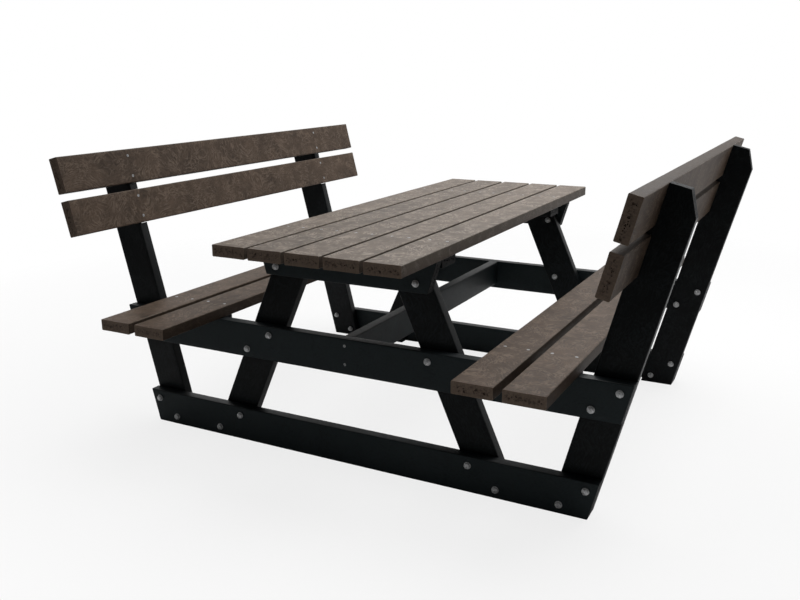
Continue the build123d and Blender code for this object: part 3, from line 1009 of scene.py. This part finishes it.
class TABLE_OT_back_posts(bpy.types.Operator):
    """Make the notched posts that carry the backrests"""

    bl_idname = "picnic.back_posts"
    bl_label = "Back posts"

    def execute(self, context):
        shop = Workshop(context.scene)
        cuts = shop.cuts
        lean = cuts.post_lean
        width = shop.board.width
        for end, _ in ENDS:
            for name, side in SIDES:
                node = f"{end}_{name}_back_post"
                low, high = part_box(node)
                y = (low.y + high.y) / 2
                foot = Vector((side * min(abs(low.x), abs(high.x)), y, 0))
                along = Vector((side * sin(lean), 0, cos(lean)))
                across = Vector((side * cos(lean), 0, -sin(lean)))
                board_low, board_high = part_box(f"{name}_back_upper_board")
                depth = ((board_low + board_high) / 2 - foot).dot(across) + shop.board.thickness / 2
                length = (high.z + depth * sin(lean)) / cos(lean)
                middle = foot + along * (length / 2) + across * (width / 2)
                top = foot + along * length
                shoulder = foot + along * (length - cuts.post_chamfer) + across * width
                chamfer_run = width - depth - cuts.post_top_width
                chamfer_facing = (across * cuts.post_chamfer + along * chamfer_run).normalized()
                saws = [(foot, -Z), (top, along), (shoulder, chamfer_facing)]
                turn = Matrix((across, along, across.cross(along))).transposed().to_4x4()
                to_board = (Matrix.Translation(middle) @ turn).inverted()
                notches = [
                    notch_cutter(shop, f"{name}_back_{row}_board", foot, along, across, to_board)
                    for row in ("lower", "upper")
                ]
                shop.make_board(
                    node, middle, along, across, length, width, BLACK_FRAME,
                    saws=saws, bolted=True, spare=RAKED_SPARE, notches=notches, shade=UPRIGHT_PAINTED_SHADE,
                )
        return {"FINISHED"}


class TABLE_OT_supports(bpy.types.Operator):
    """Make the centre beam, the seat cleats and the tabletop battens"""

    bl_idname = "picnic.supports"
    bl_label = "Beam, cleats and battens"

    def execute(self, context):
        shop = Workshop(context.scene)
        straight_piece(shop, "centre_beam", Y, Z, BLACK_FRAME)
        for end, _ in ENDS:
            straight_piece(shop, f"{end}_top_batten", X, Y, BLACK_FRAME)
            for side, _ in SIDES:
                straight_piece(shop, f"{end}_{side}_seat_cleat", X, Z, BLACK_FRAME)
        return {"FINISHED"}


# ---- fasteners ----
def hexagon_block(flats, height, bottom_too):
    """A hexagon block standing on Z = 0 with its corners rounded off at the top, or at both ends."""
    bm = bmesh.new()
    bmesh.ops.create_circle(bm, cap_ends=True, radius=flats / 2 / cos(pi / 6), segments=6)
    bmesh.ops.subdivide_edges(bm, edges=bm.edges[:], cuts=3)
    raised = bmesh.ops.extrude_face_region(bm, geom=bm.faces[:])["geom"]
    top = [g for g in raised if isinstance(g, bmesh.types.BMVert)]
    bmesh.ops.translate(bm, vec=(0, 0, height), verts=top)
    corner = 0.10 * height
    crown = 0.48 * flats
    slice_through(bm, Z, [corner, height - corner] if bottom_too else [height - corner])
    for vert in bm.verts:
        trimmed = vert.co.z > height - 1e-6 or (bottom_too and vert.co.z < 1e-6)
        radius = vert.co.xy.length
        if trimmed and radius > crown:
            vert.co.xy *= crown / radius
    bmesh.ops.recalc_face_normals(bm, faces=bm.faces)
    return bm


def hexagon_bolt(fasteners, reach):
    """A hexagon-head bolt, its head on Z = 0, threaded at the tail."""
    bm = hexagon_block(fasteners.head_flats, fasteners.head_height, False)
    radius = fasteners.bolt_diameter / 2
    root = radius - 0.6 * fasteners.thread_pitch
    overlap = 0.0005
    lead_in = 0.0008
    thread_top = -reach + fasteners.thread_length
    profile = [(0, overlap), (radius, overlap), (radius, thread_top)]
    ridge = thread_top - 0.001
    while ridge > -reach + 0.002:
        profile.append((root, ridge))
        profile.append((radius, ridge - fasteners.thread_pitch / 2))
        ridge -= fasteners.thread_pitch
    profile += [(root, -reach + lead_in), (root - lead_in, -reach), (0, -reach)]
    shank = turned(profile, 16)
    mesh = bpy.data.meshes.new("shank")
    shank.to_mesh(mesh)
    shank.free()
    bm.from_mesh(mesh)
    bpy.data.meshes.remove(mesh)
    return bm


def hexagon_nut(fasteners, height):
    """A hexagon nut standing on Z = 0 with its hole right through."""
    bm = hexagon_block(fasteners.head_flats, height, True)
    hole = fasteners.bolt_diameter / 2
    lead_in = 0.6 * fasteners.thread_pitch
    rims = []
    for facing in (Z, -Z):
        bm.normal_update()
        caps = [f for f in bm.faces if f.normal.dot(facing) > 0.99]
        cap = max(caps, key=lambda f: (len(f.verts), f.calc_center_median().dot(facing)))
        for radius, depth in ((hole + lead_in, 0.0), (hole, -lead_in)):
            inset(bm, [cap], 0.0002, depth)
            for vert in cap.verts:
                vert.co.xy *= radius / vert.co.xy.length
        rims += list(cap.edges)
        bmesh.ops.delete(bm, geom=[cap], context="FACES_ONLY")
    bmesh.ops.bridge_loops(bm, edges=rims)
    bmesh.ops.recalc_face_normals(bm, faces=bm.faces)
    return bm


def round_washer(outer, inner, thickness):
    """A flat washer with its edges just broken, lying on Z = 0."""
    soft = 0.2 * thickness
    profile = [
        (inner, soft),
        (inner + soft, 0),
        (outer - soft, 0),
        (outer, soft),
        (outer, thickness - soft),
        (outer - soft, thickness),
        (inner + soft, thickness),
        (inner, thickness - soft),
    ]
    return turned(profile, 28, closed=True)


def board_screw(fasteners, length):
    """A countersunk screw with a six-lobed drive, the face of its head on Z = 0."""
    shank = fasteners.screw_diameter / 2
    head = fasteners.screw_head / 2
    drive = 0.30 * head
    rim = 0.0004
    point = 0.006
    profile = [
        (0, 0),
        (drive, 0),
        (0.62 * head, 0),
        (head - rim, 0),
        (head, -rim),
        (shank, -fasteners.screw_head_height),
        (shank, -length + point),
        (0, -length),
    ]
    bm = turned(profile, 24)
    flat = [f for f in bm.faces if f.calc_center_median().z > -1e-6]
    middle = [f for f in flat if f.calc_center_median().xy.length < drive]
    for vert in {v for f in middle for v in f.verts}:
        if vert.co.xy.length > drive / 3:
            turn = atan2(vert.co.y, vert.co.x)
            vert.co.xy *= 1.0 + 0.16 * cos(6 * turn)
    bmesh.ops.inset_region(
        bm, faces=middle, thickness=0.0001, depth=-fasteners.screw_drive_depth, use_boundary=True
    )
    return bm


def fastener_places(node, outward, rise, turn, luck):
    """A place for each solid of a node: `rise` out from its inner face, turned by chance."""
    places = []
    for points in solids_of(node):
        inner, _ = extent(points, outward)
        spot = middle_of(points)
        spot.y = (inner + rise) * outward.y
        places.append(standing(spot, outward, luck.uniform(0, turn)))
    return places


class TABLE_OT_frame_fasteners(bpy.types.Operator):
    """Make the bolts, washers and nuts that hold the frames together"""

    bl_idname = "picnic.frame_fasteners"
    bl_label = "Bolts, washers and nuts"

    def execute(self, context):
        shop = Workshop(context.scene)
        fasteners = shop.fasteners
        luck = random.Random(5)
        zinc = [shop.materials["zinc_plate"]]
        for end, sign in ENDS:
            outward = Y * sign
            bolts, washers, nuts = (f"{end}_frame_{kind}" for kind in ("bolts", "washers", "nuts"))
            tail, head = extent(solids_of(bolts)[-1], outward)
            shank = head - fasteners.head_height - tail
            bm = hexagon_bolt(fasteners, shank)
            bm = stamp(bm, fastener_places(bolts, outward, shank, pi / 3, luck))
            add_piece(bm, f"zinc_{bolts}", zinc, [bolts])
            washer = solids_of(washers)[-1]
            left, right = extent(washer, X)
            inner, outer = extent(washer, outward)
            bm = round_washer((right - left) / 2, fasteners.bolt_hole / 2, outer - inner)
            bm = stamp(bm, fastener_places(washers, outward, 0.0, pi, luck))
            add_piece(bm, f"zinc_{washers}", zinc, [washers])
            inner, outer = extent(solids_of(nuts)[-1], outward)
            bm = hexagon_nut(fasteners, outer - inner)
            bm = stamp(bm, fastener_places(nuts, outward, 0.0, pi / 3, luck))
            add_piece(bm, f"zinc_{nuts}", zinc, [nuts])
        return {"FINISHED"}


class TABLE_OT_screws(bpy.types.Operator):
    """Make the countersunk screws that hold the boards down"""

    bl_idname = "picnic.screws"
    bl_label = "Board screws"

    def execute(self, context):
        shop = Workshop(context.scene)
        luck = random.Random(9)
        steel = [shop.materials["screw_steel"]]
        for node, heads in screw_heads(shop.cuts.post_lean).items():
            sink = shop.fasteners.screw_sink
            places = [
                standing(point - facing * sink, facing, luck.uniform(0, pi)) for point, facing, _ in heads
            ]
            bm = stamp(board_screw(shop.fasteners, heads[0][2] - sink), places)
            add_piece(bm, f"steel_{node}", steel, [node])
        return {"FINISHED"}


# ---- stage ----
def floor_material(stage):
    """Pale matte floor that fades away before its rim."""
    material, tree, shader = new_material("pale_floor", 0.1)
    place = put(tree, "ShaderNodeTexCoord").outputs["Object"]
    shift = {"Vector": place, "Location": (0.0, -stage.floor_behind, 0.0)}
    centred = put(tree, "ShaderNodeMapping", shift).outputs[0]
    distance = put(tree, "ShaderNodeVectorMath", {0: centred}, operation="LENGTH").outputs["Value"]
    fine = spread(tree, cloud(tree, place, 3.0, 2.0).outputs["Fac"], 0.2, 0.8, 0.985, 1.0)
    colour = put(tree, "ShaderNodeVectorMath", {0: tuple(stage.floor), "Scale": fine}, operation="SCALE")
    tree.links.new(colour.outputs[0], shader.inputs["Base Color"])
    shader.inputs["Roughness"].default_value = 0.9
    fade = spread(tree, distance, 0.5 * stage.floor_radius, stage.floor_radius, 1.0, 0.0)
    seen = put(tree, "ShaderNodeLightPath").outputs["Is Camera Ray"]
    veil = sums(tree, "MULTIPLY_ADD", seen, -stage.floor_veil, 1.0)
    tree.links.new(sums(tree, "MULTIPLY", fade, veil), shader.inputs["Alpha"])
    return material


def add_lamp(name, place, target, size, power):
    """A square soft lamp that looks at a point."""
    lamp = bpy.data.lights.new(name, "AREA")
    lamp.shape = "SQUARE"
    lamp.size = size
    lamp.energy = power
    made = bpy.data.objects.new(name, lamp)
    made.location = place
    aim = Vector(target) - Vector(place)
    made.rotation_euler = aim.to_track_quat("-Z", "Y").to_euler()
    bpy.context.scene.collection.objects.link(made)


class TABLE_OT_stage(bpy.types.Operator):
    """Set up the pale floor, the soft lamps and the camera"""

    bl_idname = "picnic.stage"
    bl_label = "Studio stage"

    def execute(self, context):
        scene = context.scene
        stage = scene.table_stage
        bm = bmesh.new()
        radius = stage.floor_radius + stage.floor_behind
        bmesh.ops.create_circle(bm, cap_ends=True, radius=radius, segments=96)
        mesh = bpy.data.meshes.new("studio_floor")
        bm.to_mesh(mesh)
        bm.free()
        mesh.materials.append(floor_material(stage))
        floor = bpy.data.objects.new("studio_floor", mesh)
        scene.collection.objects.link(floor)
        add_lamp("overhead_lamp", OVERHEAD_PLACE, (0, 0, 0.4), OVERHEAD_SIZE, stage.overhead)
        add_lamp("side_lamp", SIDE_PLACE, (0, 0, 0.5), SIDE_SIZE, stage.side)
        world = bpy.data.worlds.new("studio_light")
        world.use_nodes = True
        tree = world.node_tree
        tree.nodes.clear()
        seen = put(tree, "ShaderNodeBackground", {"Color": (1, 1, 1, 1), "Strength": 1.0})
        heading = put(tree, "ShaderNodeTexCoord").outputs["Generated"]
        behind = put(tree, "ShaderNodeVectorMath", {0: heading, 1: BACKDROP_HEADING}, operation="DOT_PRODUCT")
        glow = spread(tree, behind.outputs["Value"], -0.1, 0.9, stage.sky, stage.backdrop)
        light = put(tree, "ShaderNodeBackground", {"Color": (1, 1, 1, 1), "Strength": glow})
        rays = put(tree, "ShaderNodeLightPath")
        shares = {0: rays.outputs["Is Camera Ray"], 1: light.outputs[0], 2: seen.outputs[0]}
        both = put(tree, "ShaderNodeMixShader", shares)
        put(tree, "ShaderNodeOutputWorld", {"Surface": both.outputs[0]})
        scene.world = world
        scene.view_settings.view_transform = "Standard"
        camera = bpy.data.objects.new("camera", bpy.data.cameras.new("camera"))
        camera.data.sensor_width = 36.0
        camera.data.lens = stage.lens
        camera.data.clip_end = 100.0
        turn = Matrix.Rotation(stage.camera_turn, 4, "Z")
        tilt = Matrix.Rotation(pi / 2 - stage.camera_tilt, 4, "X")
        roll = Matrix.Rotation(stage.camera_roll, 4, "Z")
        camera.matrix_world = Matrix.Translation(stage.camera_place) @ turn @ tilt @ roll
        scene.collection.objects.link(camera)
        scene.camera = camera
        return {"FINISHED"}


OPERATORS = (
    TABLE_OT_tabletop,
    TABLE_OT_seats,
    TABLE_OT_backrests,
    TABLE_OT_rails,
    TABLE_OT_legs,
    TABLE_OT_back_posts,
    TABLE_OT_supports,
    TABLE_OT_frame_fasteners,
    TABLE_OT_screws,
    TABLE_OT_stage,
)
SETTINGS = {
    "table_boards": BoardSettings,
    "table_frames": FrameSettings,
    "table_fasteners": FastenerSettings,
    "table_finish": FinishSettings,
    "table_stage": StageSettings,
}


class TABLE_PT_sidebar(bpy.types.Panel):
    """The table's pieces and settings in the sidebar"""

    bl_idname = "TABLE_PT_sidebar"
    bl_label = "Picnic table"
    bl_space_type = "VIEW_3D"
    bl_region_type = "UI"
    bl_category = "Picnic table"

    def draw(self, context):
        for operator in OPERATORS:
            self.layout.operator(operator.bl_idname)
        for name, settings in SETTINGS.items():
            box = self.layout.box()
            box.label(text=settings.__doc__)
            for key in settings.__annotations__:
                box.prop(getattr(context.scene, name), key)


def register():
    for settings in SETTINGS.values():
        bpy.utils.register_class(settings)
    for name, settings in SETTINGS.items():
        setattr(bpy.types.Scene, name, PointerProperty(type=settings))
    for operator in OPERATORS:
        bpy.utils.register_class(operator)
    bpy.utils.register_class(TABLE_PT_sidebar)


def unregister():
    bpy.utils.unregister_class(TABLE_PT_sidebar)
    for operator in reversed(OPERATORS):
        bpy.utils.unregister_class(operator)
    for name in SETTINGS:
        delattr(bpy.types.Scene, name)
    for settings in reversed(list(SETTINGS.values())):
        bpy.utils.unregister_class(settings)


def main():
    """Build the whole table and its stage."""
    register()
    bpy.ops.picnic.tabletop()
    bpy.ops.picnic.seats()
    bpy.ops.picnic.backrests()
    bpy.ops.picnic.rails()
    bpy.ops.picnic.legs()
    bpy.ops.picnic.back_posts()
    bpy.ops.picnic.supports()
    bpy.ops.picnic.frame_fasteners()
    bpy.ops.picnic.screws()
    bpy.ops.picnic.stage()


if __name__ == "__main__":
    main()
